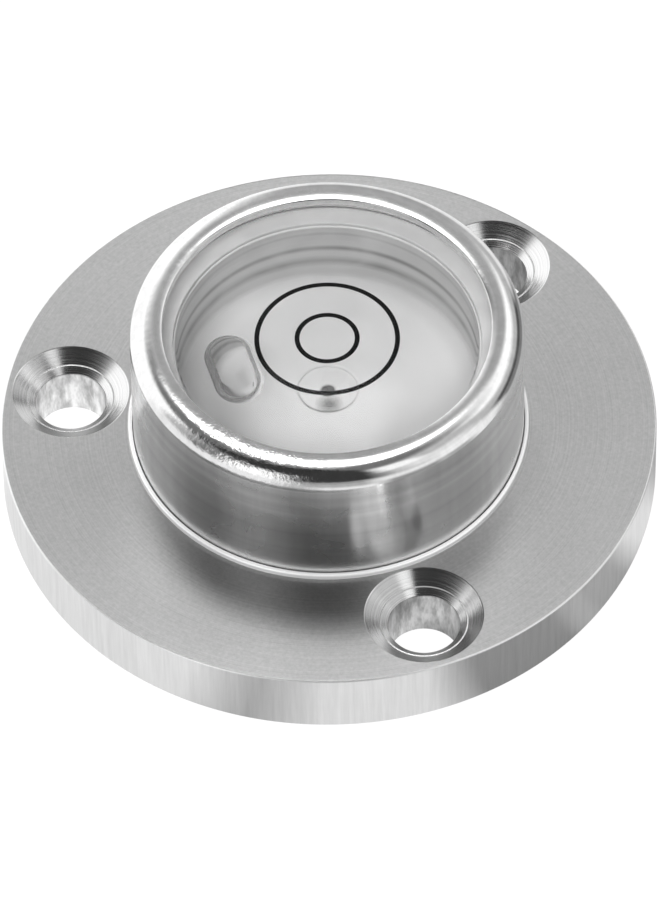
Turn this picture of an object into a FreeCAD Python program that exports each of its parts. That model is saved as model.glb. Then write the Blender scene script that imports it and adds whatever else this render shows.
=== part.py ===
import FreeCAD, Part
import math
import os

# Bullseye level that is screwed down through a round flange. All sizes are in millimetres.
# It stands on the flange: +Z is up, the origin is the middle of the flange's underside,
# and the first screw hole lies on +Y.

# Mounting flange, a turned disc
flange_radius = 25.0
flange_thickness = 5.4
flange_edge_chamfer = 0.25
flange_land_width = 10.1

# Countersunk screw holes
screw_count = 3
screw_circle_edge_distance = 5.0
first_screw_angle = 90.0
screw_hole_radius = 2.7
countersink_radius = 4.5
countersink_angle = 110.0
countersink_land_radius = 3.35
countersink_land_width = 0.12
hole_deburr = 0.2

# Seat for the housing, with a raised collar round it
seat_clearance = 0.05
seat_lip_thickness = 2.0
seat_lip_width = 2.0
collar_width = 0.35
collar_height = 0.45
collar_outer_chamfer = 0.15
collar_inner_chamfer = 0.12

# Vial housing, a turned cup with its rim rolled over the window
housing_height = 15.0
housing_floor = 3.2
housing_foot_chamfer = 0.3
housing_wall_at_window = 1.65
cavity_corner_chamfer = 0.4
ledge_width = 1.7
ledge_chamfer = 0.15
rim_shoulder_radius = 1.45
rim_crown_radius = 3.8
rim_shoulder_tilt = 10.0
rim_lip_chamfer = 0.1
rim_above_window = 0.6
rim_over_window = 0.8

# Window, a glass disc ground hollow underneath
window_clearance = 0.05
window_edge_thickness = 2.3
window_edge_chamfer = 0.15
window_hollow_radius = 115.0

# Flat seal between the window and its ledge
window_seal_thickness = 0.5
window_seal_setback = 0.15

# Black circles printed on the hollow side of the window
outer_circle_radius = 5.31
inner_circle_radius = 2.27
circle_line_width = 0.28
circle_print_thickness = 0.03

# Liquid and bubble, each kept a hair clear of what holds it
film_gap = 0.02
bubble_radius = 1.88
bubble_straight_length = 2.5
bubble_contact_depth = 0.45
bubble_distance_from_wall = 4.15
bubble_angle = 236.0

# Filler plug and its washer, in the middle of the housing's floor
plug_radius = 2.25
plug_clearance = 0.05
plug_setback = 0.3
plug_end_chamfer = 0.2
plug_pip_radius = 0.65
plug_pip_depth = 0.35
plug_head_thickness = 1.0
plug_head_clearance = 0.2
plug_slot_width = 0.8
plug_slot_depth = 0.5
plug_seal_thickness = 0.4
plug_seal_width = 1.3

# Radii that follow from the flange's radius, from the outside to the inside
screw_circle_radius = flange_radius - screw_circle_edge_distance
housing_radius = flange_radius - flange_land_width
seat_radius = housing_radius + seat_clearance
window_pocket_radius = housing_radius - housing_wall_at_window
window_radius = window_pocket_radius - window_clearance
sight_radius = window_radius - rim_over_window
cavity_radius = window_radius - ledge_width
bubble_offset = cavity_radius - bubble_distance_from_wall
plug_hole_radius = plug_radius + plug_clearance
plug_head_radius = plug_hole_radius + plug_seal_width

# Heights that follow from the sizes above
rim_top = seat_lip_thickness + housing_height
cavity_floor = seat_lip_thickness + housing_floor
window_top = rim_top - rim_above_window
window_bottom = window_top - window_edge_thickness
ledge_height = window_bottom - window_seal_thickness
hollow_centre = window_bottom - math.sqrt(window_hollow_radius ** 2 - cavity_radius ** 2)
plug_head_top = seat_lip_thickness + plug_head_thickness
plug_shoulder = plug_head_top + plug_seal_thickness
plug_end = cavity_floor - plug_setback

# How far a cutting tool runs past the face that it leaves
tool_overrun = 1.0


def at(radius, height):
    """A point of a half section, in the plane that holds the turning axis."""
    return FreeCAD.Vector(radius, 0, height)


def run(*points):
    """Straight edges from each point to the next."""
    return [Part.LineSegment(a, b).toShape() for a, b in zip(points, points[1:])]


def tilted(centre_radius, centre_height, radius, tilt):
    """The point of a rounding where its surface leans outward by a tilt, in degrees from level."""
    lean = math.radians(tilt)
    return at(centre_radius + radius * math.sin(lean), centre_height + radius * math.cos(lean))


def rounding(centre_radius, centre_height, radius, first_tilt, last_tilt):
    """An arc of a half section, from one tilt of its surface to another."""
    tilts = (first_tilt, (first_tilt + last_tilt) / 2, last_tilt)
    start, middle, end = [tilted(centre_radius, centre_height, radius, tilt) for tilt in tilts]
    return [Part.Arc(start, middle, end).toShape()]


def turned(*edges):
    """The solid that a closed half section makes when it is turned about the Z axis."""
    wire = Part.Wire([edge for group in edges for edge in group])
    face = Part.Face(wire)
    return face.revolve(at(0, 0), FreeCAD.Vector(0, 0, 1), 360)


def screw_hole_tool():
    """What the drill and the countersink take away for one screw, on the Z axis."""
    slope = math.tan(math.radians(countersink_angle / 2))
    land_depth = (countersink_radius - countersink_land_radius) / slope
    land_inner_radius = countersink_land_radius - countersink_land_width
    cone_depth = land_depth + (land_inner_radius - screw_hole_radius) / slope
    return turned(run(
        at(0, -tool_overrun),
        at(screw_hole_radius + hole_deburr + tool_overrun, -tool_overrun),
        at(screw_hole_radius, hole_deburr),
        at(screw_hole_radius, flange_thickness - cone_depth),
        at(land_inner_radius, flange_thickness - land_depth),
        at(countersink_land_radius, flange_thickness - land_depth),
        at(countersink_radius, flange_thickness),
        at(countersink_radius, flange_thickness + tool_overrun),
        at(0, flange_thickness + tool_overrun),
        at(0, -tool_overrun),
    ))


def mounting_flange():
    """Turned disc with a stepped bore for the housing, a collar round it and the screw holes."""
    collar_radius = seat_radius + collar_width
    collar_top = flange_thickness + collar_height
    opening_radius = housing_radius - seat_lip_width
    disc = turned(run(
        at(opening_radius, 0),
        at(flange_radius - flange_edge_chamfer, 0),
        at(flange_radius, flange_edge_chamfer),
        at(flange_radius, flange_thickness - flange_edge_chamfer),
        at(flange_radius - flange_edge_chamfer, flange_thickness),
        at(collar_radius, flange_thickness),
        at(collar_radius, collar_top - collar_outer_chamfer),
        at(collar_radius - collar_outer_chamfer, collar_top),
        at(seat_radius + collar_inner_chamfer, collar_top),
        at(seat_radius, collar_top - collar_inner_chamfer),
        at(seat_radius, seat_lip_thickness),
        at(opening_radius, seat_lip_thickness),
        at(opening_radius, 0),
    ))
    for number in range(screw_count):
        tool = screw_hole_tool()
        tool.translate(FreeCAD.Vector(screw_circle_radius, 0, 0))
        angle = first_screw_angle + number * 360 / screw_count
        tool.rotate(at(0, 0), FreeCAD.Vector(0, 0, 1), angle)
        disc = disc.cut(tool)
    return disc


def vial_housing():
    """Turned cup: filler hole, cavity, ledge and pocket for the window, and the rolled rim."""
    head_bore_radius = plug_head_radius + plug_head_clearance
    lean = math.radians(rim_shoulder_tilt)
    less_curved = rim_crown_radius - rim_shoulder_radius
    shoulder_middle = housing_radius - rim_shoulder_radius
    crown_middle = shoulder_middle - less_curved * math.sin(lean)
    crown_centre = rim_top - rim_crown_radius
    shoulder_centre = crown_centre + less_curved * math.cos(lean)
    lip_radius = sight_radius + rim_lip_chamfer
    lip_tilt = math.degrees(math.asin((lip_radius - crown_middle) / rim_crown_radius))
    lip_top = tilted(crown_middle, crown_centre, rim_crown_radius, lip_tilt)
    return turned(
        run(
            at(plug_hole_radius, cavity_floor),
            at(plug_hole_radius, plug_shoulder),
            at(head_bore_radius, plug_shoulder),
            at(head_bore_radius, seat_lip_thickness),
            at(housing_radius - housing_foot_chamfer, seat_lip_thickness),
            at(housing_radius, seat_lip_thickness + housing_foot_chamfer),
            at(housing_radius, shoulder_centre),
        ),
        rounding(shoulder_middle, shoulder_centre, rim_shoulder_radius, 90, rim_shoulder_tilt),
        rounding(crown_middle, crown_centre, rim_crown_radius, rim_shoulder_tilt, lip_tilt),
        run(
            lip_top,
            at(sight_radius, lip_top.z - rim_lip_chamfer),
            at(sight_radius, window_top),
            at(window_pocket_radius, window_top),
            at(window_pocket_radius, ledge_height),
            at(cavity_radius + ledge_chamfer, ledge_height),
            at(cavity_radius, ledge_height - ledge_chamfer),
            at(cavity_radius, cavity_floor + cavity_corner_chamfer),
            at(cavity_radius - cavity_corner_chamfer, cavity_floor),
            at(plug_hole_radius, cavity_floor),
        ),
    )


def hollow_ball(depth=0.0):
    """Ball that the hollow face is a piece of, or the smaller one whose face lies a depth below it."""
    return Part.makeSphere(window_hollow_radius - depth, at(0, hollow_centre), at(1, 0))


def window_glass():
    """Glass disc, flat on top, with the hollow face that keeps the bubble under its middle."""
    disc = turned(run(
        at(0, window_bottom),
        at(0, window_top),
        at(window_radius - window_edge_chamfer, window_top),
        at(window_radius, window_top - window_edge_chamfer),
        at(window_radius, window_bottom + window_edge_chamfer),
        at(window_radius - window_edge_chamfer, window_bottom),
        at(0, window_bottom),
    ))
    return disc.cut(hollow_ball())


def circle_mark(radius):
    """One printed circle: a thin skin of ink that follows the hollow face."""
    inner = radius - circle_line_width / 2
    outer = radius + circle_line_width / 2
    band = turned(run(
        at(inner, window_bottom),
        at(outer, window_bottom),
        at(outer, window_top),
        at(inner, window_top),
        at(inner, window_bottom),
    ))
    return band.common(hollow_ball()).cut(hollow_ball(circle_print_thickness))


def window_seal():
    """Flat ring that the window is pressed on."""
    inner = cavity_radius + window_seal_setback
    return turned(run(
        at(inner, ledge_height),
        at(window_radius, ledge_height),
        at(window_radius, window_bottom),
        at(inner, window_bottom),
        at(inner, ledge_height),
    ))


def filler_plug():
    """Slotted plug: its head lies in the housing's underside, and its end shows in the cavity."""
    plug = turned(run(
        at(0, plug_end - plug_pip_depth),
        at(0, seat_lip_thickness),
        at(plug_head_radius, seat_lip_thickness),
        at(plug_head_radius, plug_head_top),
        at(plug_radius, plug_head_top),
        at(plug_radius, plug_end - plug_end_chamfer),
        at(plug_radius - plug_end_chamfer, plug_end),
        at(plug_pip_radius, plug_end),
        at(0, plug_end - plug_pip_depth),
    ))
    slot = Part.makeBox(
        2 * plug_head_radius + 2 * tool_overrun,
        plug_slot_width,
        plug_slot_depth + tool_overrun,
        FreeCAD.Vector(
            -plug_head_radius - tool_overrun, -plug_slot_width / 2, seat_lip_thickness - tool_overrun
        ),
    )
    return plug.cut(slot)


def plug_seal():
    """Washer between the plug's head and the shoulder of its bore."""
    return turned(run(
        at(plug_hole_radius, plug_head_top),
        at(plug_head_radius, plug_head_top),
        at(plug_head_radius, plug_shoulder),
        at(plug_hole_radius, plug_shoulder),
        at(plug_hole_radius, plug_head_top),
    ))


def bubble_space(growth=0.0):
    """The bubble's long round-ended body, before the window flattens its top."""
    radius = bubble_radius + growth
    hollow_above = hollow_centre + math.sqrt(window_hollow_radius ** 2 - bubble_offset ** 2)
    height = hollow_above + bubble_contact_depth - bubble_radius
    along_wall = FreeCAD.Vector(0, 1, 0)
    start = FreeCAD.Vector(bubble_offset, -bubble_straight_length / 2, height)
    end = FreeCAD.Vector(bubble_offset, bubble_straight_length / 2, height)
    body = Part.makeCylinder(radius, bubble_straight_length, start, along_wall)
    body = body.fuse(Part.makeSphere(radius, start, along_wall))
    body = body.fuse(Part.makeSphere(radius, end, along_wall))
    body.rotate(at(0, 0), at(0, 1), bubble_angle)
    return body


def filled_space():
    """Everything between the housing's floor, its wall, the plug and the printed window."""
    wall = cavity_radius - film_gap
    floor = cavity_floor + film_gap
    plug_face = plug_end + film_gap
    inside = turned(run(
        at(0, plug_face - plug_pip_depth),
        at(0, window_top),
        at(wall, window_top),
        at(wall, floor + cavity_corner_chamfer),
        at(wall - cavity_corner_chamfer, floor),
        at(plug_radius, floor),
        at(plug_radius, plug_face),
        at(plug_pip_radius, plug_face),
        at(0, plug_face - plug_pip_depth),
    ))
    return inside.common(hollow_ball(circle_print_thickness + film_gap))


parts = {
    "mounting_flange": mounting_flange(),
    "vial_housing": vial_housing(),
    "window_glass": window_glass(),
    "outer_circle_mark": circle_mark(outer_circle_radius),
    "inner_circle_mark": circle_mark(inner_circle_radius),
    "window_seal": window_seal(),
    "filler_plug": filler_plug(),
    "plug_seal": plug_seal(),
    "liquid_fill": filled_space().cut(bubble_space(film_gap)),
    "air_bubble": filled_space().common(bubble_space()),
}

os.makedirs("parts", exist_ok=True)
for name, shape in parts.items():
    solid = shape.removeSplitter()
    solid.exportStep("parts/" + name + ".step")
    print(name, "solids", len(solid.Solids), "valid", solid.isValid(), "mm3", round(solid.Volume, 3))
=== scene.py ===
# %% [markdown]
# A bullseye level, dressed around its CAD part
#
# The part is a small circular level that is screwed down: a turned flange, and in its middle a polished
# housing whose rim is rolled over a glass window. Nearly every piece of it was made on a lathe, so
# nearly every piece here is a half section that is turned about the Z axis. The imported CAD part is
# the frame: it says where each piece is, and the pieces below stand where its solids stand.

# %% Load the frame and bake its placement into its meshes
import math

import bpy
from mathutils import Matrix, Vector


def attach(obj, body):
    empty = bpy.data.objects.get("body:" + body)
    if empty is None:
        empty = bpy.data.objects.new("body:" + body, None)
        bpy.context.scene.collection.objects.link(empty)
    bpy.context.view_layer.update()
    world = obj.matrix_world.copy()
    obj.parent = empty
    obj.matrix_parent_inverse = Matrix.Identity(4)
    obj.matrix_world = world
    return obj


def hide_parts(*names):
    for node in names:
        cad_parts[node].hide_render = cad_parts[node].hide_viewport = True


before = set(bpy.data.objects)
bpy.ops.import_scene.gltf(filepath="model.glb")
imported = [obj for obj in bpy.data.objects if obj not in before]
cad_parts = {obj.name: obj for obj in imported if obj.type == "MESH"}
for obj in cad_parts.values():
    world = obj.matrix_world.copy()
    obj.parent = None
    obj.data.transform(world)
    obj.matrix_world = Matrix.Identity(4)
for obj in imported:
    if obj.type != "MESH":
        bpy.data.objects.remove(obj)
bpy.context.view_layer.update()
MM = 0.001
print("CAD nodes:", sorted(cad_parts))

# %% [markdown]
# The camera
#
# A camera can be placed by eye, or worked out from ellipses in the photograph whose real circles are
# known. The second way was used: the flange, the rim and the printed circles are all level circles,
# and one camera has to fit them all. It looks down at about 51 degrees through a long lens.

# %% Camera
view_azimuth = math.radians(39.9)
view_elevation = math.radians(51.143)
view_distance = 0.6749
view_roll = math.radians(-1.033)
aim_point = Vector((0.065 * MM, 1.595 * MM, 0))
lens_mm = 351.9


def seen_from_camera(point):
    """Turns a point from axes that face the camera, with +X to its right, to the part's own axes."""
    return Matrix.Rotation(view_azimuth, 3, "Z") @ Vector(point)


camera_place = seen_from_camera((
    0, -math.cos(view_elevation) * view_distance, math.sin(view_elevation) * view_distance
))
back = (camera_place - seen_from_camera(aim_point)).normalized()
level_right = Vector((0, 0, 1)).cross(back).normalized()
level_up = back.cross(level_right)
right = level_right * math.cos(view_roll) + level_up * math.sin(view_roll)
up = level_up * math.cos(view_roll) - level_right * math.sin(view_roll)

camera_data = bpy.data.cameras.new("photo_camera")
camera_data.lens = lens_mm
camera_data.clip_start = 0.01
camera_data.clip_end = 20
camera = bpy.data.objects.new("photo_camera", camera_data)
bpy.context.scene.collection.objects.link(camera)
turn = Matrix((right, up, back)).transposed().to_4x4()
camera.matrix_world = Matrix.Translation(camera_place) @ turn
bpy.context.scene.camera = camera
bpy.context.scene.view_settings.view_transform = "Standard"
print("camera at", [round(c, 4) for c in camera_place], "lens", lens_mm)

# %% [markdown]
# Small helpers for node trees
#
# Shader trees and geometry trees are built with the same few calls: add a node, set its values, and
# join sockets. A helper keeps each tree short enough to read as a drawing.


# %% Node helpers
def fill(tree, socket, value):
    """Gives a socket a value, or joins another socket to it."""
    if isinstance(value, bpy.types.NodeSocket):
        tree.links.new(value, socket)
    else:
        socket.default_value = value


def add_node(tree, kind, inputs=None, **settings):
    """Adds a node, sets its properties, and fills its inputs with values or with sockets to join."""
    node = tree.nodes.new(kind)
    for key, value in settings.items():
        setattr(node, key, value)
    for key, value in (inputs or {}).items():
        fill(tree, node.inputs[key], value)
    return node


def calculate(tree, operation, first, second=0.0, third=0.0):
    """One step of arithmetic, on numbers or sockets."""
    node = add_node(tree, "ShaderNodeMath", {0: first, 1: second, 2: third}, operation=operation)
    return node.outputs[0]


def spread(tree, value, low, high, to_low=0.0, to_high=1.0, shape="LINEAR"):
    """Stretches the range from low to high to another range, and stops at its ends."""
    node = add_node(tree, "ShaderNodeMapRange", {
        "Value": value, "From Min": low, "From Max": high, "To Min": to_low, "To Max": to_high,
    }, interpolation_type=shape)
    return node.outputs["Result"]


def turned(tree, vector, angle):
    """A vector that is turned about the Z axis."""
    values = {"Vector": vector, "Angle": angle}
    return add_node(tree, "ShaderNodeVectorRotate", values, rotation_type="Z_AXIS").outputs[0]


def new_group(name, kind, inputs, outputs):
    """A node group. Each input is given a number to start from, or else the kind of its socket."""
    group = bpy.data.node_groups.new(name, kind)
    for title, value in inputs.items():
        is_kind = isinstance(value, str)
        socket_type = "NodeSocket" + (value if is_kind else type(value).__name__.title())
        socket = group.interface.new_socket(title, in_out="INPUT", socket_type=socket_type)
        if not is_kind:
            socket.default_value = value
    for title, value in outputs.items():
        group.interface.new_socket(title, in_out="OUTPUT", socket_type="NodeSocket" + value)
    given = group.nodes.new("NodeGroupInput").outputs
    made = group.nodes.new("NodeGroupOutput").inputs
    return group, given, made


# %% [markdown]
# Half sections
#
# A lathe hand draws half of the piece: radius across, height up. Every corner on the real piece is
# broken a little by the tool or the polishing wheel, and that is what catches the light, so each
# corner carries its own small radius. Points are also set just beside each rounding, so that the
# flat faces stay flat when the mesh is shaded smooth.

# %% Draw a half section
def room_beside(length, next_rounding):
    """How much of an edge a rounding may take, so that the next corner keeps its own."""
    return max(0.42 * length, length - 2 * next_rounding)


def soften(before, corner, after, rounding, rounding_before, rounding_after):
    """The points that take a sharp corner's place: a guard, an arc, and a guard."""
    to_before = before - corner
    to_after = after - corner
    half = to_before.angle(to_after) / 2
    reach = min(
        rounding / math.tan(half),
        room_beside(to_before.length, rounding_before),
        room_beside(to_after.length, rounding_after),
    )
    radius = reach * math.tan(half)
    toward_centre = (to_before.normalized() + to_after.normalized()).normalized()
    centre = corner + toward_centre * (radius / math.sin(half))
    first = corner + to_before.normalized() * reach
    last = corner + to_after.normalized() * reach
    side = (last - first).normalized()
    sweep = math.pi - 2 * half
    steps = max(2, math.ceil((4 + 12 * radius) * sweep / math.radians(90)))
    guards = [
        corner + edge.normalized() * (reach + min(0.6 * reach, 0.2 * (edge.length - reach)))
        for edge in (to_before, to_after)
    ]
    arc = []
    for step in range(steps + 1):
        angle = (step / steps - 0.5) * sweep
        arc.append(centre - toward_centre * radius * math.cos(angle) + side * radius * math.sin(angle))
    return [guards[0], *arc, guards[1]]


def rounded_line(corners, closed):
    """Rounds the corners (radius, height, rounding) in mm. A closed line doesn't touch the axis."""
    spots = [Vector((radius, height)) for radius, height, rounding in corners]
    points = []
    for index, spot in enumerate(spots):
        following = (index + 1) % len(spots)
        at_end = not closed and index in (0, len(corners) - 1)
        if at_end or corners[index][2] == 0:
            points.append(spot)
        else:
            points.extend(soften(
                spots[index - 1], spot, spots[following],
                corners[index][2], corners[index - 1][2], corners[following][2],
            ))
    return points + points[:1] if closed else points


def facing_out(*lines):
    """Joins lines into one, running the way round that makes its turned faces point outwards."""
    points = [point for line in lines for point in line]
    area = sum(a.x * b.y - b.x * a.y for a, b in zip(points, points[1:] + points[:1]))
    return points if area > 0 else points[::-1]


def half_section(corners, closed):
    """One half section from its corners."""
    return facing_out(rounded_line(corners, closed))


# %% [markdown]
# The lathe
#
# Turning could be done with the Screw modifier or with mesh code. A Geometry Nodes tree is used
# because the rule is so short: lay out a grid with one column for each step round the axis, and put
# each point of a column where the half section has it, turned by the column's angle. Where the seam
# meets itself, and where points meet on the axis, they are merged.

# %% Geometry tree that turns a half section
steps_around = 256
merge_distance = 0.5e-6
sharp_angle = math.radians(24)

lathe, given, made = new_group("turn_half_section", "GeometryNodeTree", {
    "Half Section": "Geometry", "Steps Around": steps_around, "Sharp Angle": sharp_angle,
    "Finish": "Material",
}, {"Piece": "Geometry"})


def whole_number(operation, first, second):
    """One step of arithmetic on whole numbers, in the lathe."""
    return add_node(lathe, "FunctionNodeIntegerMath", {0: first, 1: second}, operation=operation).outputs[0]


def clean_and_finish(tree, geometry, given, made):
    """Merges doubled points, smooths faces up to a sharp corner, and gives the material."""
    merged = add_node(tree, "GeometryNodeMergeByDistance", {
        "Geometry": geometry, "Distance": merge_distance,
    })
    smooth = add_node(tree, "GeometryNodeSetShadeSmooth", {
        "Geometry": merged.outputs[0], "Shade Smooth": True,
    })
    bend = add_node(tree, "GeometryNodeInputMeshEdgeAngle").outputs["Unsigned Angle"]
    gentle = add_node(tree, "FunctionNodeCompare", {0: bend, 1: given["Sharp Angle"]}, operation="LESS_THAN")
    edges = add_node(tree, "GeometryNodeSetShadeSmooth", {
        "Geometry": smooth.outputs[0], "Shade Smooth": gentle.outputs[0],
    }, domain="EDGE")
    real = add_node(tree, "GeometryNodeRealizeInstances", {"Geometry": edges.outputs[0]})
    dressed = add_node(tree, "GeometryNodeSetMaterial", {
        "Geometry": real.outputs[0], "Material": given["Finish"],
    })
    fill(tree, made["Piece"], dressed.outputs[0])


points_in_section = add_node(
    lathe, "GeometryNodeAttributeDomainSize", {"Geometry": given["Half Section"]}
).outputs["Point Count"]
columns = whole_number("ADD", given["Steps Around"], 1)
grid = add_node(lathe, "GeometryNodeMeshGrid", {"Vertices X": columns, "Vertices Y": points_in_section})
index = add_node(lathe, "GeometryNodeInputIndex").outputs[0]
row = whole_number("MODULO", index, points_in_section)
column = whole_number("DIVIDE_FLOOR", index, points_in_section)
angle_step = calculate(lathe, "DIVIDE", math.tau, given["Steps Around"])
drawn = add_node(lathe, "GeometryNodeSampleIndex", {
    "Geometry": given["Half Section"], "Index": row,
    "Value": add_node(lathe, "GeometryNodeInputPosition").outputs[0],
}, data_type="FLOAT_VECTOR")
placed = add_node(lathe, "GeometryNodeSetPosition", {
    "Geometry": grid.outputs["Mesh"],
    "Position": turned(lathe, drawn.outputs[0], calculate(lathe, "MULTIPLY", column, angle_step)),
})
clean_and_finish(lathe, placed.outputs[0], given, made)
print("nodes in the lathe:", len(lathe.nodes))


def run_tree(piece, tree, values):
    """Runs a geometry tree on an object and leaves a plain mesh behind."""
    modifier = piece.modifiers.new(tree.name, "NODES")
    modifier.node_group = tree
    for socket in tree.interface.items_tree:
        if socket.item_type == "SOCKET" and socket.in_out == "INPUT" and socket.name in values:
            modifier[socket.identifier] = values[socket.name]
    graph = bpy.context.evaluated_depsgraph_get()
    mesh = bpy.data.meshes.new_from_object(piece.evaluated_get(graph))
    piece.modifiers.remove(modifier)
    piece.data = mesh
    mesh.name = piece.name
    return piece


def turn_piece(name, points, finish, steps=steps_around):
    """Makes a turned piece from a half section in mm."""
    section = bpy.data.meshes.new(name)
    section.from_pydata([(p.x * MM, 0, p.y * MM) for p in points], [], [])
    piece = bpy.data.objects.new(name, section)
    bpy.context.scene.collection.objects.link(piece)
    run_tree(piece, lathe, {"Steps Around": steps, "Finish": finish})
    print(name, "points in section", len(points), "faces", len(piece.data.polygons))
    return piece


# %% [markdown]
# Cutting tools
#
# The screw holes are drilled and countersunk into the turned disc, and the bubble takes its room out
# of the liquid. Both are the same step: set a tool on points round the axis, and take it away from
# the piece. The same tree with the other operation keeps only what a piece and a tool share.


# %% Geometry trees that cut with a tool
def cutting_tree(name, operation):
    """A tree that sets a tool on points round the axis, and cuts with it or keeps what both share."""
    tree, given, made = new_group(name, "GeometryNodeTree", {
        "Blank": "Geometry", "Tool": "Object", "Count": 1, "Circle Radius": 0.0, "First Angle": 0.0,
        "Sharp Angle": sharp_angle, "Finish": "Material",
    }, {"Piece": "Geometry"})
    spot = add_node(tree, "ShaderNodeCombineXYZ", {"X": given["Circle Radius"]}).outputs[0]
    number = add_node(tree, "GeometryNodeInputIndex").outputs[0]
    pitch = calculate(tree, "DIVIDE", math.tau, given["Count"])
    angle = calculate(tree, "MULTIPLY_ADD", number, pitch, given["First Angle"])
    points = add_node(tree, "GeometryNodePoints", {
        "Count": given["Count"], "Position": turned(tree, spot, angle),
    })
    tool = add_node(tree, "GeometryNodeObjectInfo", {"Object": given["Tool"]})
    tools = add_node(tree, "GeometryNodeInstanceOnPoints", {
        "Points": points.outputs[0], "Instance": tool.outputs["Geometry"],
    })
    real_tools = add_node(tree, "GeometryNodeRealizeInstances", {"Geometry": tools.outputs[0]})
    cut = add_node(tree, "GeometryNodeMeshBoolean", operation=operation, solver="EXACT")
    fill(tree, cut.inputs["Mesh 2"], real_tools.outputs[0])
    fill(tree, cut.inputs["Mesh 1" if operation == "DIFFERENCE" else "Mesh 2"], given["Blank"])
    clean_and_finish(tree, cut.outputs[0], given, made)
    return tree


cut_away = cutting_tree("cut_away", "DIFFERENCE")
keep_common = cutting_tree("keep_common", "INTERSECT")
print("nodes in each cutting tree:", len(cut_away.nodes), len(keep_common.nodes))

# %% [markdown]
# Shared surface effects
#
# Turned metal shows rings from the tool, handled metal shows smears, and cast or drawn stock shows a
# fine grain. Each effect is a node group with its own inputs, so that every finish can use it at its
# own scale. Everything reads Object coordinates, so a pattern stays on the piece.

# %% Turning marks
def from_axis(tree, position):
    """How far a point is from the Z axis, and how high it is."""
    apart = add_node(tree, "ShaderNodeSeparateXYZ", {"Vector": position}).outputs
    flat = add_node(tree, "ShaderNodeCombineXYZ", {"X": apart[0], "Y": apart[1]}).outputs[0]
    distance = add_node(tree, "ShaderNodeVectorMath", {0: flat}, operation="LENGTH").outputs["Value"]
    return distance, apart[2]


turning_marks, given, made = new_group(
    "turning_marks", "ShaderNodeTree",
    {"Position": "Vector", "Rings per mm": 8.0, "Unevenness": 0.3}, {"Rings": "Float", "Bands": "Float"},
)
tree = turning_marks
bands_per_mm = 0.9
along = calculate(tree, "DIVIDE", calculate(tree, "ADD", *from_axis(tree, given["Position"])), MM)
wander = add_node(tree, "ShaderNodeTexNoise", {"Vector": given["Position"], "Scale": 120.0, "Detail": 2.0})
drift = calculate(tree, "MULTIPLY", wander.outputs[0], given["Unevenness"])
across = calculate(tree, "ADD", calculate(tree, "MULTIPLY", along, given["Rings per mm"]), drift)
rings = add_node(tree, "ShaderNodeTexNoise", {
    "W": across, "Scale": 1.0, "Detail": 3.0, "Roughness": 0.6,
}, noise_dimensions="1D")
bands = add_node(tree, "ShaderNodeTexNoise", {
    "W": calculate(tree, "MULTIPLY", along, bands_per_mm), "Scale": 1.0, "Detail": 2.0,
}, noise_dimensions="1D")
fill(tree, made["Rings"], rings.outputs[0])
fill(tree, made["Bands"], bands.outputs[0])
print("turning_marks gives", [socket.name for socket in made if socket.name])

# %% Handling marks: smears and fine scratches
handling_marks, given, made = new_group(
    "handling_marks", "ShaderNodeTree",
    {"Position": "Vector", "Smears per mm": 0.12, "Scratches per mm": 1.2},
    {"Smears": "Float", "Scratches": "Float"},
)
tree = handling_marks
smears = add_node(tree, "ShaderNodeTexNoise", {
    "Vector": given["Position"], "Scale": calculate(tree, "DIVIDE", given["Smears per mm"], MM),
    "Detail": 4.0, "Distortion": 0.8,
})
stretched = add_node(tree, "ShaderNodeMapping", {
    "Vector": given["Position"], "Rotation": (0.3, 0.2, 0.7), "Scale": (1.0, 0.07, 0.3),
})
scratches = add_node(tree, "ShaderNodeTexNoise", {
    "Vector": stretched.outputs[0], "Scale": calculate(tree, "DIVIDE", given["Scratches per mm"], MM),
    "Detail": 2.0, "Distortion": 0.4,
})
fill(tree, made["Smears"], spread(tree, smears.outputs[0], 0.25, 0.75, shape="SMOOTHSTEP"))
fill(tree, made["Scratches"], spread(tree, scratches.outputs[0], 0.66, 0.74))
print("handling_marks gives", [socket.name for socket in made if socket.name])

# %% Fine grain
fine_grain, given, made = new_group(
    "fine_grain", "ShaderNodeTree", {"Position": "Vector", "Grains per mm": 4.0}, {"Grain": "Float"}
)
grain = add_node(fine_grain, "ShaderNodeTexNoise", {
    "Vector": given["Position"], "Scale": calculate(fine_grain, "DIVIDE", given["Grains per mm"], MM),
    "Detail": 3.0, "Roughness": 0.65,
})
fill(fine_grain, made["Grain"], grain.outputs[0])
print("fine_grain gives", [socket.name for socket in made if socket.name])

# %% Start a material
def fill_inputs(tree, node, **values):
    """Fills a node's inputs by name, with an underscore for each space."""
    for key, value in values.items():
        fill(tree, node.inputs[key.replace("_", " ")], value)


def new_finish(name, **values):
    """A material with its Principled shader, the shader's plain values and the piece's coordinates."""
    material = bpy.data.materials.new(name)
    material.use_nodes = True
    tree = material.node_tree
    shader = tree.nodes["Principled BSDF"]
    fill_inputs(tree, shader, **values)
    position = add_node(tree, "ShaderNodeTexCoord").outputs["Object"]
    return material, tree, shader, position


def use_group(tree, group, **inputs):
    """Places a shared effect and hands back what it gives."""
    node = tree.nodes.new("ShaderNodeGroup")
    node.node_tree = group
    fill_inputs(tree, node, **inputs)
    return node.outputs


def turned_rings(tree, position, per_mm, unevenness):
    """The rings of the turning marks alone."""
    return use_group(
        tree, turning_marks, Position=position, Rings_per_mm=per_mm, Unevenness=unevenness
    )["Rings"]


def smears_at(tree, position, per_mm):
    """The smears of the handling marks alone."""
    return use_group(tree, handling_marks, Position=position, Smears_per_mm=per_mm)["Smears"]


def grain_at(tree, position, per_mm):
    """Fine grain at a scale of its own."""
    return use_group(tree, fine_grain, Position=position, Grains_per_mm=per_mm)["Grain"]


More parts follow.
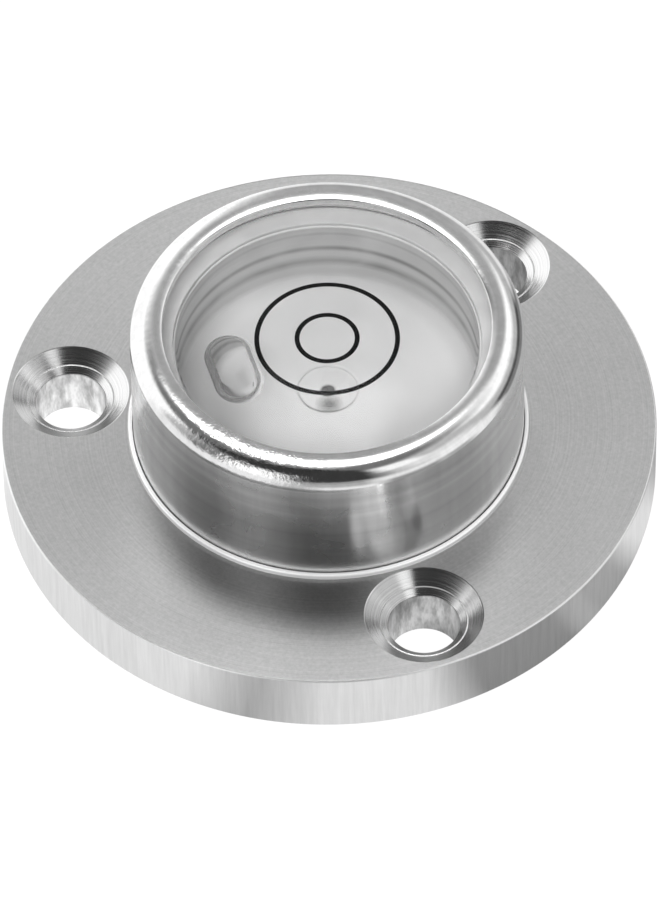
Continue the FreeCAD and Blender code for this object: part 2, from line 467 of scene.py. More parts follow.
def upright_grain(tree, position, squeeze, per_mm):
    """Grain that is drawn out along Z, as brushing and drilling leave it."""
    drawn_out = add_node(tree, "ShaderNodeMapping", {"Vector": position, "Scale": (1.0, 1.0, squeeze)})
    return grain_at(tree, drawn_out.outputs[0], per_mm)


# %% Mix tones and mark places
def grey(level):
    """A neutral colour."""
    return (level, level, level, 1.0)


def blend_values(tree, share, first, second):
    """A number that goes from the first to the second. A Mix node holds them in sockets 2 and 3."""
    return add_node(tree, "ShaderNodeMix", {0: share, 2: first, 3: second}, data_type="FLOAT").outputs[0]


def blend_colours(tree, share, first, second):
    """A colour that goes from the first to the second. A Mix node holds them in sockets 6 and 7."""
    return add_node(tree, "ShaderNodeMix", {0: share, 6: first, 7: second}, data_type="RGBA").outputs[2]


def add_share(tree, base, value, share):
    """The base, with a share of another value added."""
    return calculate(tree, "MULTIPLY_ADD", value, share, base)


def above(tree, value, limit_mm):
    """A mask for where a length is over a limit in mm."""
    return calculate(tree, "GREATER_THAN", value, limit_mm * MM)


def below(tree, value, limit_mm):
    """A mask for where a length is under a limit in mm."""
    return calculate(tree, "LESS_THAN", value, limit_mm * MM)


def soft_ring(tree, value, middle, half_width, strength):
    """A soft ring at one height or radius, in mm."""
    away = calculate(tree, "ABSOLUTE", calculate(tree, "SUBTRACT", value, middle * MM))
    return spread(tree, away, 0.0, half_width * MM, strength, 0.0)


def soft_spot(tree, position, place, near, far, strength=1.0):
    """A round spot that is full up to one distance from a place, in mm, and gone at another."""
    gap = add_node(tree, "ShaderNodeVectorMath", {0: position, 1: place}, operation="DISTANCE")
    return spread(tree, gap.outputs["Value"], near * MM, far * MM, strength, 0.0)


# %% Set up a shader
def follow_the_lathe(tree, shader):
    """Lets the shader's streaks follow the rings round the axis."""
    tangent = add_node(tree, "ShaderNodeTangent", direction_type="RADIAL", axis="Z")
    fill(tree, shader.inputs["Tangent"], tangent.outputs[0])


def let_light_in(tree, shader, blocked, seen=1.0):
    """A clear piece that casts almost no shadow, so that the room lights what is under it."""
    shadow_ray = add_node(tree, "ShaderNodeLightPath").outputs["Is Shadow Ray"]
    kept = spread(tree, shadow_ray, 0, 1, 1.0, blocked)
    fill(tree, shader.inputs["Alpha"], calculate(tree, "MULTIPLY", kept, seen))


def raise_surface(tree, shader, height, depth_mm):
    """Bump from a height, with the real depth of the marks."""
    bump = add_node(tree, "ShaderNodeBump", {"Height": height, "Distance": depth_mm * MM, "Strength": 1.0})
    fill(tree, shader.inputs["Normal"], bump.outputs[0])


# %% [markdown]
# Flange metal
#
# The flange is turned aluminium with a fine satin face. The tool leaves rings round the axis, and
# rings spread a highlight into a streak that runs outwards, so the shader is anisotropic round the
# axis. The side face is brighter and brushed upright. The collar and the top corner carry a painted
# highlight: they are painted nearly white and less metallic. The screw holes were countersunk after
# that: each has rings of its own, round its own axis. The nearest hole is found by folding the disc
# into three equal slices.

# %% Flange finish
screw_count = 3
screw_circle_radius = 20.0
first_screw_angle = math.radians(90)
countersink_radius = 4.5
screw_hole_radius = 2.7
flange_top = 5.4
flange_radius = 25.0

flange_metal, tree, shader, position = new_finish(
    "flange_metal", Metallic=1.0, Roughness=0.36, Anisotropic=0.6, Anisotropic_Rotation=0.25
)
follow_the_lathe(tree, shader)
distance, height = from_axis(tree, position)


def heading_of(tree, vector):
    """The angle round the Z axis at which a point or a direction lies."""
    apart = add_node(tree, "ShaderNodeSeparateXYZ", {"Vector": vector}).outputs
    return calculate(tree, "ARCTAN2", apart[1], apart[0])


slice_angle = math.tau / screw_count
heading = heading_of(tree, position)
from_hole = calculate(tree, "SUBTRACT", heading, first_screw_angle - slice_angle / 2)
folded = calculate(tree, "FLOORED_MODULO", from_hole, slice_angle)
back_turn = calculate(tree, "SUBTRACT", calculate(tree, "SUBTRACT", folded, slice_angle / 2), heading)
hole_position = add_node(tree, "ShaderNodeVectorMath", {
    0: turned(tree, position, back_turn), 1: (-screw_circle_radius * MM, 0, 0),
}, operation="ADD").outputs[0]
hole_distance = from_axis(tree, hole_position)[0]
inside_hole = below(tree, hole_distance, countersink_radius + 0.06)
in_countersink = calculate(tree, "MULTIPLY", inside_hole, below(tree, height, flange_top - 0.01))
on_hole_wall = below(tree, hole_distance, screw_hole_radius + 0.04)

disc_marks = use_group(tree, turning_marks, Position=position, Rings_per_mm=7.0, Unevenness=0.8)
hole_rings = turned_rings(tree, hole_position, 5.0, 0.5)
grain = grain_at(tree, position, 4.0)
handled = use_group(tree, handling_marks, Position=position, Smears_per_mm=0.1, Scratches_per_mm=1.0)

# %% Flange colour
disc_tone = add_share(tree, 0.3, disc_marks["Rings"], 0.35)
disc_tone = add_share(tree, disc_tone, grain, 0.5)
disc_colour = blend_colours(tree, spread(tree, disc_tone, 0.45, 1.0), grey(0.34), grey(0.55))
brushed = spread(tree, upright_grain(tree, position, 0.05, 2.6), 0.3, 0.7)
edge_colour = blend_colours(tree, brushed, grey(0.7), grey(0.8))
on_edge = above(tree, distance, flange_radius - 0.1)
disc_colour = blend_colours(tree, on_edge, disc_colour, edge_colour)
on_collar = above(tree, height, flange_top + 0.03)
near_corner = above(tree, distance, flange_radius - 0.14)
near_corner = calculate(tree, "MULTIPLY", near_corner, above(tree, height, flange_top - 0.1))
# Painted highlight: the collar, and the top corner at a share, are painted nearly white and less metallic
painted_highlight_edges = calculate(tree, "MAXIMUM", on_collar, calculate(tree, "MULTIPLY", near_corner, 0.4))
disc_colour = blend_colours(tree, painted_highlight_edges, disc_colour, grey(0.97))
cone_colour = blend_colours(tree, hole_rings, grey(0.6), grey(0.9))
drilled = spread(tree, upright_grain(tree, hole_position, 0.3, 1.4), 0.36, 0.64)
drilled_colour = blend_colours(tree, drilled, grey(0.42), grey(0.88))
hole_colour = blend_colours(tree, on_hole_wall, cone_colour, drilled_colour)

# %% Flange gloss and marks
disc_roughness = add_share(tree, 0.28, handled["Smears"], 0.05)
disc_roughness = add_share(tree, disc_roughness, disc_marks["Bands"], 0.05)
disc_roughness = add_share(tree, disc_roughness, on_collar, -0.1)
hole_roughness = spread(tree, hole_rings, 0.3, 0.7, 0.12, 0.22)
hole_roughness = add_share(tree, hole_roughness, on_hole_wall, 0.16)
fill_inputs(
    tree, shader,
    Base_Color=blend_colours(tree, in_countersink, disc_colour, hole_colour),
    Metallic=spread(tree, painted_highlight_edges, 0, 1, 1.0, 0.35),
    Roughness=blend_values(tree, in_countersink, disc_roughness, hole_roughness),
)
disc_surface = add_share(tree, disc_marks["Rings"], grain, 0.5)
hole_surface = calculate(tree, "MULTIPLY", hole_rings, 3.0)
surface = blend_values(tree, in_countersink, disc_surface, hole_surface)
raise_surface(tree, shader, add_share(tree, surface, handled["Scratches"], -0.6), 0.0022)
print(flange_metal.name, "nodes", len(tree.nodes))

# %% [markdown]
# Mounting flange
#
# The disc is turned first, with a stepped bore for the housing and a thin collar round it. Then one
# drill-and-countersink tool, itself a turned shape, is set three times round the screw circle and
# taken away. The tool flares a little at the top, which leaves the edge of each hole slightly soft.

# %% Turn the flange and cut its screw holes
edge_break = 0.25
housing_radius = 14.9
seat_radius = 14.95
seat_height = 2.0
seat_opening = 12.9
collar_radius = 15.3
collar_top = 5.85

flange_section = half_section([
    (seat_opening, 0, 0.1),
    (flange_radius, 0, edge_break),
    (flange_radius, flange_top, 0.16),
    (collar_radius, flange_top, 0.06),
    (collar_radius, collar_top, 0.2),
    (seat_radius, collar_top, 0.12),
    (seat_radius, seat_height, 0),
    (seat_opening, seat_height, 0.05),
], closed=True)
flange = turn_piece("flange_turned", flange_section, flange_metal)

countersink_slope = math.tan(math.radians(55))
land_radius = 3.35
land_inner_radius = 3.23
land_height = flange_top - (countersink_radius - land_radius) / countersink_slope
cone_foot = land_height - (land_inner_radius - screw_hole_radius) / countersink_slope
flare = 0.07
deburred = 0.2
overrun = 1.0
tool_section = half_section([
    (0, -overrun, 0),
    (screw_hole_radius + deburred + overrun, -overrun, 0),
    (screw_hole_radius, deburred, 0.05),
    (screw_hole_radius, cone_foot, 0.08),
    (land_inner_radius, land_height, 0.02),
    (land_radius, land_height, 0.02),
    (countersink_radius - flare, flange_top - flare / countersink_slope, 0.12),
    (countersink_radius + flare * 0.5, flange_top + 0.012, 0),
    (countersink_radius + flare * 0.5, flange_top + overrun, 0),
    (0, flange_top + overrun, 0),
], closed=False)
hole_tool = turn_piece("hole_tool", tool_section, flange_metal, steps=160)
run_tree(flange, cut_away, {
    "Tool": hole_tool,
    "Count": screw_count,
    "Circle Radius": screw_circle_radius * MM,
    "First Angle": first_screw_angle,
    "Finish": flange_metal,
})
bpy.data.objects.remove(hole_tool)
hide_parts("mounting_flange")
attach(flange, "root")
print("flange faces after cutting", len(flange.data.polygons))

# %% [markdown]
# Housing metal
#
# Outside, the cup is mirror polished, with faint rings and a dull haze where fingers have been. Inside
# it is finished pale and soft, so that the bubble shows against a light ground. The wall is painted
# paler than the floor as painted light, and soft grey rings of painted shade lie on the wall and round
# the edge of the floor. It is one piece with two finishes, so one material holds both, and a mask by
# position says where the cavity is.

# %% Housing finish
cavity_radius = 11.5
cavity_floor = 5.2
ledge_height = 13.6
window_pocket_radius = 13.25
window_top = 16.4
rim_starts = 15.3
rim_begun = 15.9
gripped_place = seen_from_camera((-6.5 * MM, -12 * MM, 16.8 * MM))

housing_metal, tree, shader, position = new_finish(
    "housing_metal", Metallic=1.0, Roughness=0.1, Anisotropic=0.75, Anisotropic_Rotation=0.25
)
follow_the_lathe(tree, shader)
distance, height = from_axis(tree, position)
within_wall = below(tree, distance, cavity_radius + 0.16)
within_pocket = below(tree, distance, window_pocket_radius + 0.05)
above_ledge = above(tree, height, ledge_height - 0.02)
in_pocket = calculate(tree, "MULTIPLY", within_pocket, above_ledge)
in_pocket = calculate(tree, "MULTIPLY", in_pocket, below(tree, height, window_top + 0.01))
in_cavity = calculate(tree, "MULTIPLY", within_wall, above(tree, height, cavity_floor - 0.42))
in_cavity = calculate(tree, "MAXIMUM", in_cavity, in_pocket)
outside_metal = calculate(tree, "SUBTRACT", 1.0, in_cavity)
wall_only = above(tree, distance, cavity_radius - 0.3)
on_rim = spread(tree, height, rim_starts * MM, rim_begun * MM)

rings = use_group(tree, turning_marks, Position=position, Rings_per_mm=4.0, Unevenness=0.4)
handled = use_group(tree, handling_marks, Position=position, Smears_per_mm=0.16, Scratches_per_mm=1.6)

# %% Housing colour, outside and in the cavity
outside_tone = add_share(tree, rings["Bands"], upright_grain(tree, position, 0.06, 1.1), 0.8)
outside_colour = blend_colours(tree, spread(tree, outside_tone, 0.55, 1.25), grey(0.68), grey(0.88))
inside_tone = add_share(tree, handled["Smears"], rings["Bands"], 0.5)
inside_colour = blend_colours(tree, spread(tree, inside_tone, 0.1, 1.3), grey(0.84), grey(0.91))
# Painted light: the wall is painted paler than the floor, to make up for the low light that falls on it
inside_colour = blend_colours(tree, wall_only, inside_colour, grey(0.97))

# Painted shade: each ring on the wall has its height, its half width and its strength
wall_shade_rings = ((9.95, 0.6, 0.75), (7.7, 1.0, 0.6), (12.5, 0.35, 0.25))
ring_shade = 0.0
for ring in wall_shade_rings:
    ring_shade = calculate(tree, "ADD", ring_shade, soft_ring(tree, height, *ring))
ring_shade = calculate(tree, "MULTIPLY", ring_shade, wall_only)
# Painted shade on the floor, darker towards its corner with the wall
floor_corner_shade = soft_ring(tree, distance, middle=11.4, half_width=1.9, strength=0.36)
ring_shade = calculate(tree, "ADD", ring_shade, floor_corner_shade)
ring_shade = calculate(tree, "MULTIPLY", ring_shade, spread(tree, handled["Smears"], 0, 1, 0.55, 1.0))
inside_colour = blend_colours(tree, ring_shade, inside_colour, grey(0.3))

# %% Housing gloss and marks
bare_wall = calculate(tree, "MULTIPLY", wall_only, below(tree, height, ledge_height - 0.02))
bare_wall = calculate(tree, "MULTIPLY", bare_wall, in_cavity)
dull_side = spread(tree, height, rim_starts * MM, rim_begun * MM, 0.16, 0.0)
outside_roughness = calculate(tree, "ADD", add_share(tree, 0.07, handled["Smears"], 0.07), dull_side)
inside_roughness = add_share(tree, 0.35, grain_at(tree, position, 6.0), 0.2)
fill_inputs(
    tree, shader,
    Base_Color=blend_colours(tree, in_cavity, outside_colour, inside_colour),
    Metallic=add_share(tree, outside_metal, bare_wall, 0.3),
    Roughness=blend_values(tree, in_cavity, outside_roughness, inside_roughness),
)
scratched = calculate(tree, "MULTIPLY", handled["Scratches"], spread(tree, on_rim, 0, 1, 0.0, -0.8))
surface = add_share(tree, scratched, rings["Rings"], outside_metal)
scuffed = spread(tree, handled["Smears"], 0.3, 0.8, 1.0, 6.0)
scuffed = add_share(tree, scuffed, soft_spot(tree, position, gripped_place, near=2.5, far=8), 60.0)
ripples = calculate(tree, "MULTIPLY", grain_at(tree, position, 2.2), scuffed)
surface = calculate(tree, "ADD", surface, calculate(tree, "MULTIPLY", ripples, on_rim))
raise_surface(tree, shader, surface, 0.0008)
print(housing_metal.name, "nodes", len(tree.nodes))

# %% [markdown]
# Vial housing
#
# The housing is one turned cup: filler hole, cavity, a ledge and a pocket for the window, and a rim
# that is rolled over the glass. The roll is the shape that everyone sees. Its reflections fit a round
# shoulder of 1.45 mm outside, a flatter crown of 3.8 mm on top, and a lip that stands above the glass.

# %% Turn the housing
def rounding(centre_radius, centre_height, radius, first_tilt, last_tilt, steps):
    """Corners along an arc, from one tilt of its surface to another. A tilt of 0 is level."""
    tilts = [first_tilt + (last_tilt - first_tilt) * step / steps for step in range(steps + 1)]
    angles = [math.radians(tilt) for tilt in tilts]
    return [
        (centre_radius + radius * math.sin(angle), centre_height + radius * math.cos(angle), 0)
        for angle in angles
    ]


rim_top = 16.999
shoulder_radius = 1.45
crown_radius = 3.8
shoulder_tilt = 10.0
window_bottom = 14.1
sight_radius = 12.4
lip_edge = 0.1
plug_hole_radius = 2.3
plug_head_bore = 3.8
plug_shoulder = 3.4
lean = math.radians(shoulder_tilt)
shoulder_middle = housing_radius - shoulder_radius
crown_middle = shoulder_middle - (crown_radius - shoulder_radius) * math.sin(lean)
crown_centre = rim_top - crown_radius
shoulder_centre = crown_centre + (crown_radius - shoulder_radius) * math.cos(lean)
lip_tilt = math.degrees(math.asin((sight_radius + lip_edge - crown_middle) / crown_radius))
crown = rounding(crown_middle, crown_centre, crown_radius, shoulder_tilt, lip_tilt, 14)
housing_section = half_section([
    (plug_hole_radius, cavity_floor, 0.2),
    (plug_hole_radius, plug_shoulder, 0),
    (plug_head_bore, plug_shoulder, 0),
    (plug_head_bore, seat_height, 0.08),
    (housing_radius, seat_height, 0.25),
    (housing_radius, shoulder_centre - 0.06, 0),
    *rounding(shoulder_middle, shoulder_centre, shoulder_radius, 90, shoulder_tilt, 26)[:-1],
    *crown,
    (sight_radius, crown[-1][1] - 0.02, 0.08),
    (sight_radius, window_top, 0),
    (window_pocket_radius, window_top, 0),
    (window_pocket_radius, ledge_height, 0),
    (cavity_radius, ledge_height, 0.12),
    (cavity_radius, cavity_floor, 0.4),
], closed=True)
housing = turn_piece("housing_polished", housing_section, housing_metal)
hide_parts("vial_housing")
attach(housing, "root")

# %% [markdown]
# Window glass
#
# The window is a glass disc that is flat on top and ground hollow underneath, to a radius of 115 mm:
# that curve is what makes the bubble seek the middle. The edge of the disc is ground matt, and the
# faces are polished. Real glass picks up a few faint smears, which only show as a slight dullness.

# %% Glass finish
hollow_radius = 115.0
window_radius = 13.2
window_glass, tree, shader, position = new_finish(
    "window_glass", Base_Color=grey(0.98), Roughness=0.0, IOR=1.5,
    Specular_IOR_Level=0.1, Specular_Tint=grey(0.12), Transmission_Weight=1.0
)
smears = smears_at(tree, position, 0.2)
dullness = calculate(tree, "MULTIPLY", smears, 0.012)
ground_edge = above(tree, from_axis(tree, position)[0], window_radius - 0.16)
fill_inputs(
    tree, shader,
    Base_Color=blend_colours(tree, smears, grey(0.985), grey(0.965)),
    Roughness=add_share(tree, dullness, ground_edge, 0.4),
)
let_light_in(tree, shader, 0.04)
print(window_glass.name, "nodes", len(tree.nodes))

# %% Turn the window
hollow_centre = window_bottom - math.sqrt(hollow_radius ** 2 - cavity_radius ** 2)


def hollow_arc(from_radius, to_radius, depth, steps):
    """Points on the hollow face, or on a face that lies a depth below it."""
    radii = [from_radius + (to_radius - from_radius) * step / steps for step in range(steps + 1)]
    return [Vector((r, hollow_centre + math.sqrt((hollow_radius - depth) ** 2 - r ** 2))) for r in radii]


edge_foot = window_bottom + 0.004
window_edge = rounded_line([
    (0, window_bottom, 0),
    (0, window_top, 0),
    (window_radius, window_top, 0.15),
    (window_radius, edge_foot, 0.15),
    (cavity_radius, edge_foot, 0),
], closed=False)
window_section = facing_out(window_edge[1:-1], hollow_arc(cavity_radius, 0, 0, 60))
window = turn_piece("window_ground", window_section, window_glass)
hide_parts("window_glass")
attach(window, "root")

# %% [markdown]
# Printed circles
#
# The two black circles are ink that is fired onto the hollow face of the glass, so they sit a full
# glass thickness below the top. Each is a ring of ink a few hundredths of a millimetre thick that
# follows the curve. Drawing them as geometry, and not as colour, keeps them in the exported model.

# %% Print the circles
printed_black, tree, shader, position = new_finish(
    "printed_black", Base_Color=grey(0.004), Roughness=0.3, Specular_IOR_Level=0.03
)
grain = grain_at(tree, position, 8.0)
fill_inputs(
    tree, shader,
    Base_Color=blend_colours(tree, grain, grey(0.001), grey(0.006)),
    Roughness=spread(tree, grain, 0, 1, 0.2, 0.45),
)
raise_surface(tree, shader, grain, 0.0008)

line_width = 0.37
ink_gap = 0.004
ink_foot = 0.03
for name, node, radius in (
    ("outer_circle_ink", "outer_circle_mark", 5.31),
    ("inner_circle_ink", "inner_circle_mark", 2.27),
):
    inner = radius - line_width / 2
    outer = radius + line_width / 2
    ink_top = hollow_arc(inner, outer, ink_gap, 4)
    ink_section = facing_out(ink_top, hollow_arc(outer, inner, ink_foot, 4), ink_top[:1])
    ink = turn_piece(name, ink_section, printed_black)
    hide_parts(node)
    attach(ink, "root")

# %% [markdown]
# Seals
#
# A flat ring keeps the window off the bare metal ledge, and a washer under the plug's head keeps the
# liquid in. Both are pale rubber. The washer is never seen, so the CAD node stays as it is and only
# gets the rubber, while the ring shows through the glass edge and is turned with soft corners.

# %% Rubber finish and the seals
seal_rubber, tree, shader, position = new_finish("seal_rubber", Base_Color=(0.6, 0.6, 0.58, 1), Roughness=0.7)
grain = grain_at(tree, position, 5.0)
rubber_tone = spread(tree, add_share(tree, smears_at(tree, position, 0.3), grain, 0.6), 0, 1.6)
fill_inputs(
    tree, shader,
    Base_Color=blend_colours(tree, rubber_tone, grey(0.62), grey(0.76)),
    Roughness=spread(tree, grain, 0, 1, 0.55, 0.85),
)
raise_surface(tree, shader, grain, 0.004)

seal_inner_radius = cavity_radius + 0.15
seal_foot = ledge_height + 0.002
seal_section = half_section([
    (seal_inner_radius, seal_foot, 0.1),
    (window_radius, seal_foot, 0.1),
    (window_radius, window_bottom, 0.1),
    (seal_inner_radius, window_bottom, 0.1),
], closed=True)
seal = turn_piece("window_seal_ring", seal_section, seal_rubber)
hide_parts("window_seal")
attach(seal, "root")
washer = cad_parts["plug_seal"]
washer.data.materials.clear()
washer.data.materials.append(seal_rubber)

# %% [markdown]
# Filler plug
#
# After the level is filled through the hole in its floor, a slotted plug closes it. Its end shows in
# the middle of the floor as a small disc with a pip left by the lathe. The slot is on the underside,
# cut with the same tree as the screw holes.

# %% Plug finish
plug_end = 4.9
plug_metal, tree, shader, position = new_finish("plug_metal", Metallic=1.0, Roughness=0.25)
rings = turned_rings(tree, position, 6.0, 0.5)
height = from_axis(tree, position)[1]
at_end = above(tree, height, plug_end - 0.5)
bare = blend_colours(tree, rings, grey(0.5), grey(0.74))
pale = blend_colours(tree, rings, grey(0.78), grey(0.86))
# Painted shade: a soft dark spot on the camera's side of the plug's end, and the pip's hollow painted darker
# towards its bottom
painted_shade_place = seen_from_camera((0.1 * MM, -1.45 * MM, plug_end * MM))
painted_shade_spot = soft_spot(tree, position, painted_shade_place, near=0.2, far=1.2, strength=0.85)
painted_pip_shade = spread(tree, height, (plug_end - 0.2) * MM, (plug_end - 0.02) * MM, 1.0, 0.0)
painted_plug_shade = calculate(tree, "MULTIPLY", calculate(tree, "MAXIMUM", painted_shade_spot, painted_pip_shade), at_end)
pale = blend_colours(tree, painted_plug_shade, pale, grey(0.06))
fill_inputs(
    tree, shader,
    Base_Color=blend_colours(tree, at_end, bare, pale),
    Metallic=spread(tree, at_end, 0, 1, 1.0, 0.0),
    Roughness=spread(tree, smears_at(tree, position, 0.4), 0, 1, 0.2, 0.36),
)
raise_surface(tree, shader, rings, 0.002)
print(plug_metal.name, "nodes", len(tree.nodes))

# %% Turn the plug and cut its slot
plug_head_radius = 3.6
plug_head_top = 3.0
pip_radius = 0.65
pip_depth = 0.35
pip_floor_radius = pip_radius * 0.55
plug_section = half_section([
    (0, plug_end - pip_depth, 0),
    (pip_floor_radius, plug_end - pip_depth, 0.3),
    (pip_radius, plug_end, 0.1),
    (plug_hole_radius, plug_end, 0.02),
    (plug_hole_radius, plug_head_top, 0),
    (plug_head_radius, plug_head_top, 0.08),
    (plug_head_radius, seat_height, 0.12),
    (0, seat_height, 0),
], closed=False)
plug = turn_piece("filler_plug_turned", plug_section, plug_metal, steps=128)

slot_half = (4.5, 0.4, 0.5)
slot_corners = [
    (x * slot_half[0] * MM, y * slot_half[1] * MM, (z * slot_half[2] + seat_height) * MM)
    for x in (-1, 1) for y in (-1, 1) for z in (-1, 1)
]
slot_faces = [(0, 1, 3, 2), (4, 6, 7, 5), (0, 4, 5, 1), (2, 3, 7, 6), (0, 2, 6, 4), (1, 5, 7, 3)]
slot_mesh = bpy.data.meshes.new("slot_tool")
slot_mesh.from_pydata(slot_corners, [], slot_faces)
slot_tool = bpy.data.objects.new("slot_tool", slot_mesh)
bpy.context.scene.collection.objects.link(slot_tool)
run_tree(plug, cut_away, {"Tool": slot_tool, "Count": 1, "Finish": plug_metal})
bpy.data.objects.remove(slot_tool)
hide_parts("filler_plug")
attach(plug, "root")

# %% [markdown]
# Liquid and bubble
#
# The liquid fills the cavity up to the hollow glass, and the bubble presses against the glass near the
# wall, drawn out along it. Liquid and glass bend light, and the bubble is only seen because the liquid
# bends light around it. So the bubble's room is cut out of the liquid, and the bubble itself is air:
# a clear piece that bends nothing. Where the liquid wets the wall and the floor there is no surface to
# see, so a mask by position takes it away there, and the metal shows as it does under real liquid.

# %% Liquid and bubble finishes
vial_liquid, tree, shader, position = new_finish(
    "vial_liquid", Base_Color=grey(0.99), Roughness=0.0, IOR=1.36,
    Specular_IOR_Level=0.06, Transmission_Weight=1.0
)
cloud = smears_at(tree, position, 0.1)
fill_inputs(tree, shader, Base_Color=blend_colours(tree, cloud, grey(0.985), grey(1.0)))
distance, height = from_axis(tree, position)
off_wall = below(tree, distance, cavity_radius - 0.025)
off_floor = above(tree, height, cavity_floor + 0.45)
let_light_in(tree, shader, 0.02, seen=calculate(tree, "MULTIPLY", off_wall, off_floor))

bubble_air, tree, shader, position = new_finish(
    "bubble_air", Base_Color=grey(1.0), Roughness=0.0, IOR=1.0, Transmission_Weight=1.0
)
cloud = smears_at(tree, position, 0.4)
fill_inputs(tree, shader, Base_Color=blend_colours(tree, cloud, grey(0.995), grey(1.0)))
let_light_in(tree, shader, 0.0)
print("clear finishes:", vial_liquid.name, bubble_air.name)

# %% Shape the bubble
film = 0.02
bubble_radius = 1.88
bubble_straight = 2.5
bubble_contact = 0.45
bubble_offset = 7.35
bubble_angle = math.radians(236)


def round_ended_body(name, growth):
    """The bubble's long body, lying along the wall, before the window flattens its top."""
    radius = bubble_radius + growth
    half = bubble_straight / 2
    steps = 28
    end = [math.radians(90) * step / steps for step in range(steps + 1)]
    section = [Vector((radius * math.sin(a), half + radius * math.cos(a))) for a in end]
    section += [Vector((p.x, -p.y)) for p in reversed(section)]
    body = turn_piece(name, facing_out(section), bubble_air, steps=96)
    top = hollow_centre + math.sqrt(hollow_radius ** 2 - bubble_offset ** 2)
    height = (top + bubble_contact - bubble_radius) * MM
    lay_down = Matrix.Rotation(math.radians(90), 4, "X")
    place = Matrix.Translation((bubble_offset * MM, 0, height))
    body.data.transform(Matrix.Rotation(bubble_angle, 4, "Z") @ place @ lay_down)
    return body


print("bubble length in mm:", round(bubble_straight + 2 * bubble_radius, 2))

# %% Fill the cavity and set the bubble in it
plug_radius = 2.25
top_depth = 0.05
fill_top = window_bottom - top_depth
fill_edge = rounded_line([
    (0, plug_end - pip_depth + film, 0),
    (pip_floor_radius, plug_end - pip_depth + film, 0.3),
    (pip_radius, plug_end + film, 0.1),
    (plug_radius, plug_end + film, 0),
    (plug_radius, cavity_floor + film, 0),
    (cavity_radius - film, cavity_floor + film, 0.4),
    (cavity_radius - film, fill_top, 0),
    (0, fill_top, 0),
], closed=False)
fill_section = facing_out(fill_edge[:-2], hollow_arc(cavity_radius - film, 0, top_depth, 60))
liquid = turn_piece("liquid_body", fill_section, vial_liquid)
pocket = round_ended_body("bubble_pocket", film)
bubble = turn_piece("bubble_body", fill_section, bubble_air, steps=128)
body = round_ended_body("bubble_tool", 0.0)
run_tree(liquid, cut_away, {"Tool": pocket, "Count": 1, "Finish": vial_liquid})
run_tree(bubble, keep_common, {"Tool": body, "Count": 1, "Finish": bubble_air})
bpy.data.objects.remove(pocket)
bpy.data.objects.remove(body)
for piece, node, slot in ((liquid, "liquid_fill", "vial_liquid"), (bubble, "air_bubble", "bubble_air")):
    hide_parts(node)
    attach(piece, "root")
    print(piece.name, "faces", len(piece.data.polygons))

# %% [markdown]
# Room
#
# Polished metal looks like the room that it reflects, so the light is a room and not a lamp. The rim is
# a small round mirror, and its pale and dark stretches tell which way each window, wall and shadow lay.
# The room is written the same way: one soft patch after another, each with its place in degrees round
# the part and above the table. Azimuth 0 is the camera's right, and 90 is behind the part. It is one
# group, which the sky uses above the table's edge and the table uses below it.

# %% The room as the part sees it
studio_room, given, made = new_group(
    "studio_room", "ShaderNodeTree", {"Direction": "Vector"}, {"Level": "Float"}
)
tree = studio_room
from_camera = turned(tree, given["Direction"], -view_azimuth)
unit = add_node(tree, "ShaderNodeVectorMath", {0: from_camera}, operation="NORMALIZE").outputs[0]
rise = from_axis(tree, unit)[1]
room_azimuth = calculate(tree, "DEGREES", heading_of(tree, unit))
room_elevation = calculate(tree, "DEGREES", calculate(tree, "ARCSINE", rise))
patches_laid = [spread(tree, room_elevation, -3, 12, 1.0, 0.55)]


def lay_patch(azimuth, elevation, level, softness=8.0):
    """Lays a soft patch over the room: azimuth and elevation each run from one value to another."""
    tree = studio_room
    aside = calculate(tree, "SUBTRACT", room_azimuth, sum(azimuth) / 2)
    aside = calculate(tree, "WRAP", aside, 180, -180)
    higher = calculate(tree, "SUBTRACT", room_elevation, sum(elevation) / 2)
    masks = []
    for offset, limits in ((aside, azimuth), (higher, elevation)):
        half = (limits[1] - limits[0]) / 2
        away = calculate(tree, "ABSOLUTE", offset)
        masks.append(spread(tree, away, half - softness / 2, half + softness / 2, 1.0, 0.0))
    mask = calculate(tree, "MULTIPLY", *masks)
    patches_laid.append(blend_values(tree, mask, patches_laid[-1], level))


# Overhead it is dim, and darker on the camera's side
lay_patch((-200, 180), (46, 140), 0.2, softness=14)
lay_patch((-178, -66), (44, 140), 0.04, softness=10)
lay_patch((-66, 100), (20, 66), 0.6, softness=12)

# The bright wall and lamp behind the part
lay_patch((97, 178), (-60, 46), 1.3, softness=10)
lay_patch((12, 76), (36, 57), 1.3, softness=14)
lay_patch((70, 116), (60, 84), 0.6, softness=16)
lay_patch((76, 110), (56, 71), 4.6, softness=7)
lay_patch((74, 97), (8, 56), 0.42)

# The camera, and the pale and dark stretches on both sides of it
lay_patch((-108, -64), (8, 80), 0.05, softness=14)
lay_patch((-142, -116), (-2, 37), 1.4)
lay_patch((-163, -146), (-2, 46), 0.2)
lay_patch((-52, -12), (8, 38), 0.95, softness=14)
lay_patch((-62, -36), (34, 62), 1.2, softness=10)
lay_patch((-106, -70), (-18, 9), 0.4)
lay_patch((-38, -8), (-15, 16), 1.1, softness=12)

# The table on the right, which lies in the part's shadow
lay_patch((2, 50), (-20, 14), 0.1)
lay_patch((-6, 60), (-90, -18), 0.42, softness=10)
lay_patch((-38, -22), (-90, -15), 0.36)
lay_patch((-67, -38), (-90, -15), 0.2, softness=10)
lay_patch((-112, -98), (-90, -14), 0.42, softness=14)
fill(studio_room, made["Level"], patches_laid[-1])
print("patches in the room:", len(patches_laid) - 1)

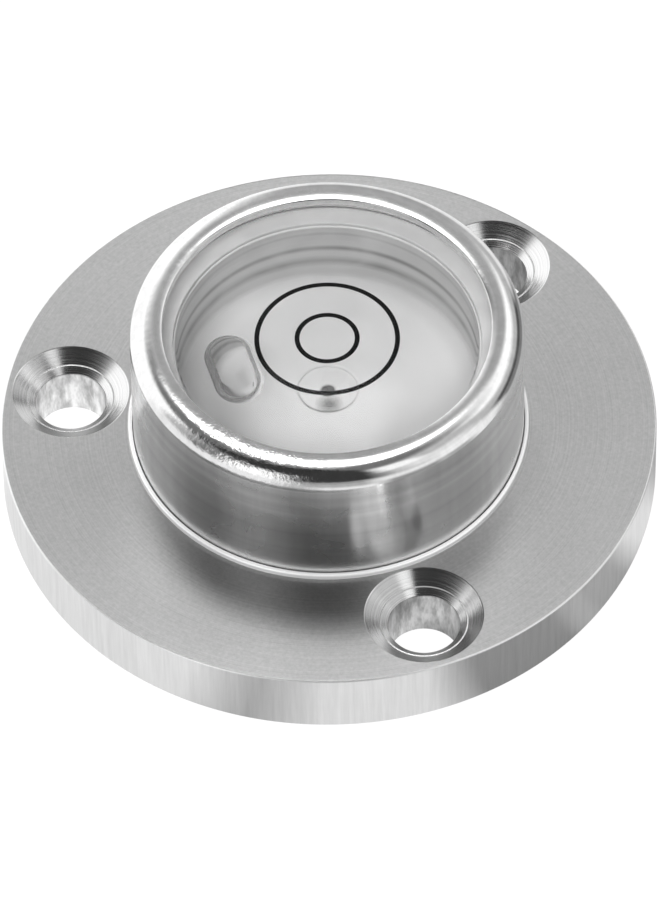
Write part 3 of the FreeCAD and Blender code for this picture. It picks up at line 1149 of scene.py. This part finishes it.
# %% Sky
world = bpy.data.worlds.new("studio_room")
bpy.context.scene.world = world
world.use_nodes = True
tree = world.node_tree
around = add_node(tree, "ShaderNodeTexCoord").outputs["Generated"]
sky_level = use_group(tree, studio_room, Direction=around)["Level"]
fill_inputs(tree, tree.nodes["Background"], Color=grey(1.0), Strength=sky_level)
print("nodes in the sky:", len(tree.nodes))

# %% [markdown]
# Table
#
# The photograph has a plain white ground. A table that is lit to pure white would also over-light the
# part, so it glows by itself to the camera, and only a share of it is lit by the room. That share keeps
# the part's soft shadow. In reflections the table shows the brightness that the part sees there.

# %% Table
table_half = 0.9
table_drop = 0.00002
table_signs = ((-1, -1), (1, -1), (1, 1), (-1, 1))
table_corners = [(x * table_half, y * table_half, -table_drop) for x, y in table_signs]
table_mesh = bpy.data.meshes.new("studio_table")
table_mesh.from_pydata(table_corners, [], [(0, 1, 2, 3)])
table = bpy.data.objects.new("studio_table", table_mesh)
bpy.context.scene.collection.objects.link(table)

# %% Table finish
eye_height = 0.016
ground_brightness = 1.1
glow_share = 0.85
table_finish, tree, shader, position = new_finish("studio_table", Base_Color=grey(0.85), Roughness=0.9)
from_part = add_node(tree, "ShaderNodeVectorMath", {0: position, 1: (0, 0, -eye_height)}, operation="ADD")
reflected = use_group(tree, studio_room, Direction=from_part.outputs[0])["Level"]
paths = add_node(tree, "ShaderNodeLightPath").outputs
straight = calculate(tree, "MAXIMUM", paths["Is Camera Ray"], paths["Is Transmission Ray"])
seen = calculate(tree, "MAXIMUM", straight, paths["Is Glossy Ray"])
white = add_node(tree, "ShaderNodeEmission", {"Color": grey(1.0), "Strength": ground_brightness})
mirrored = add_node(tree, "ShaderNodeEmission", {"Color": grey(1.0), "Strength": reflected})
glow = add_node(tree, "ShaderNodeMixShader", {0: straight, 1: mirrored.outputs[0], 2: white.outputs[0]})
mixed = add_node(tree, "ShaderNodeMixShader", {
    0: calculate(tree, "MULTIPLY", seen, glow_share), 1: shader.outputs[0], 2: glow.outputs[0],
})
fill(tree, tree.nodes["Material Output"].inputs["Surface"], mixed.outputs[0])
table.data.materials.append(table_finish)
print("table is", 2 * table_half, "m wide, nodes", len(tree.nodes))

# %% [markdown]
# Soft lamp
#
# The liquid and the glass keep much of the room's light out of the vial, because light that comes in
# low has to bend round two surfaces. A large soft lamp above lights the pale floor of the vial. It is
# hidden from reflections, so the polished rim still shows the dim ceiling that it shows in the photograph.

# %% Lamp above
lamp_data = bpy.data.lights.new("soft_lamp", "AREA")
lamp_data.shape = "DISK"
lamp_data.size = 0.5
lamp_data.energy = 5.3
lamp = bpy.data.objects.new("soft_lamp", lamp_data)
bpy.context.scene.collection.objects.link(lamp)
lamp.location = seen_from_camera((-0.11, -0.36, 0.71))
lamp.rotation_euler = lamp.location.to_track_quat("Z", "Y").to_euler()
lamp.visible_glossy = False
lamp.visible_transmission = False
print("lamp at", [round(c, 3) for c in lamp.location])
